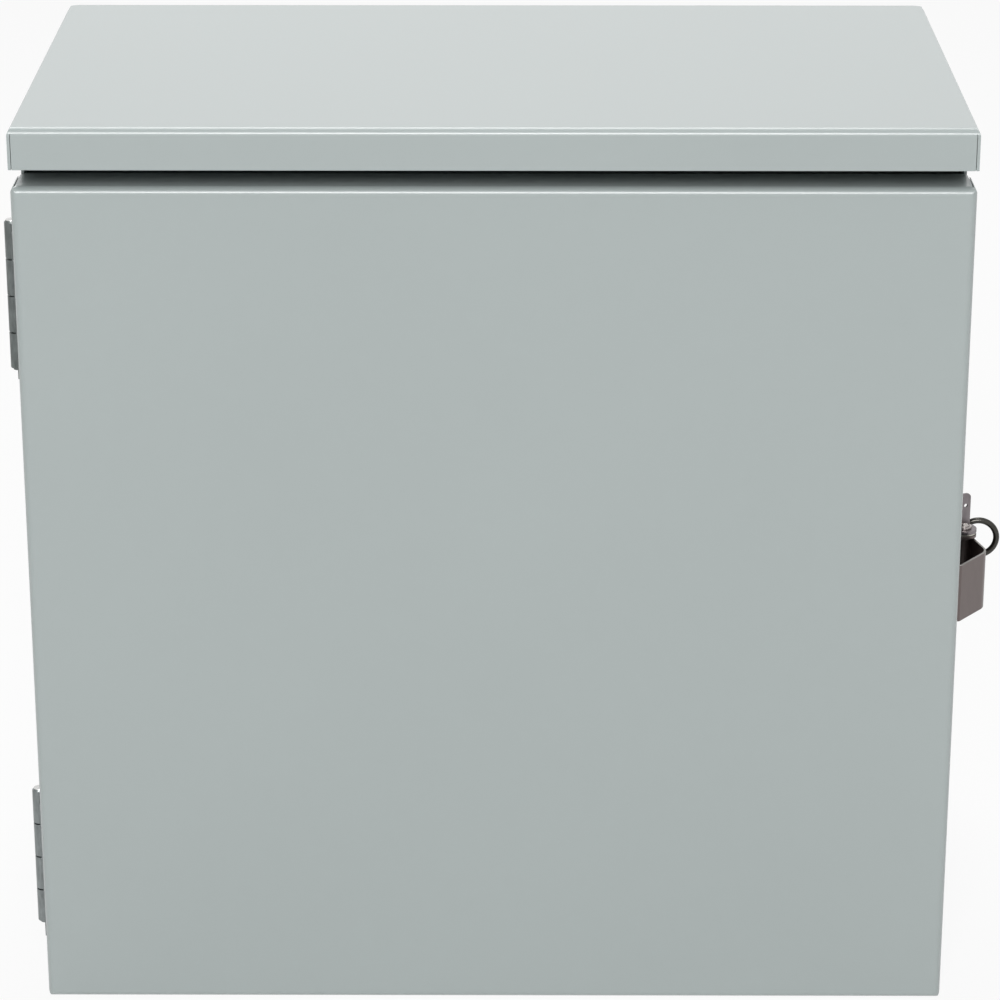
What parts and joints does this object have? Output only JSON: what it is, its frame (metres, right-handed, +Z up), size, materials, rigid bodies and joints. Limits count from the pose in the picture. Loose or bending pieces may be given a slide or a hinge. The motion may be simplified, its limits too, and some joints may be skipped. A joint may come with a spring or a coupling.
{
  "type": "weatherproof electrical enclosure",
  "caption": "Square sheet-steel wall enclosure with an overhanging drip-shield top, a hinged full-front pan cover and a padlockable side latch.",
  "frame": {"origin": "centre of the four wall-mounting holes, on the outside of the back wall", "axes": "+X to the right seen from the front, +Y into the wall, +Z up; the cover faces -Y"},
  "size_m": [0.6624, 0.3433, 0.6214],
  "materials": {
    "grey_paint": "semi-gloss grey powder coat",
    "hinge_steel": "plated steel, satin",
    "latch_steel": "stainless steel, satin",
    "ring_steel": "dull steel wire",
    "zinc_plate": "zinc plated"
  },
  "bodies": {
    "box": {"body_wrap": "grey_paint", "floor_pan": "grey_paint", "floor_lip": "grey_paint", "head_channel": "grey_paint", "head_lip": "grey_paint", "drip_shield": "grey_paint", "upper_hinge_body_leaf": "hinge_steel", "upper_hinge_pin": "hinge_steel", "lower_hinge_body_leaf": "hinge_steel", "lower_hinge_pin": "hinge_steel", "latch_bracket": "latch_steel", "latch_rivets": "latch_steel", "padlock_ring": "ring_steel", "panel_studs": "zinc_plate", "bond_stud": "zinc_plate", "bond_washer": "zinc_plate", "bond_nut": "zinc_plate"},
    "door": {"cover": "grey_paint", "upper_hinge_cover_leaf": "hinge_steel", "lower_hinge_cover_leaf": "hinge_steel", "strike_plate": "zinc_plate", "strike_rivets": "zinc_plate"},
    "latch": {"latch_lever": "latch_steel", "latch_pin": "latch_steel", "thumb_tab": "latch_steel", "latch_washer": "zinc_plate", "latch_clip": "latch_steel"}
  },
  "joints": [
    {"name": "door_hinge", "type": "hinge", "parent": "box", "child": "door", "pos_m": [-0.31295, -0.2948, 0], "axis": [0, 0, -1], "range_deg": [0, 170]},
    {"name": "latch_pivot", "type": "hinge", "parent": "box", "child": "latch", "pos_m": [0.3185, -0.262, 0], "axis": [0, 0, 1], "range_deg": [-6, 70]}
  ]
}
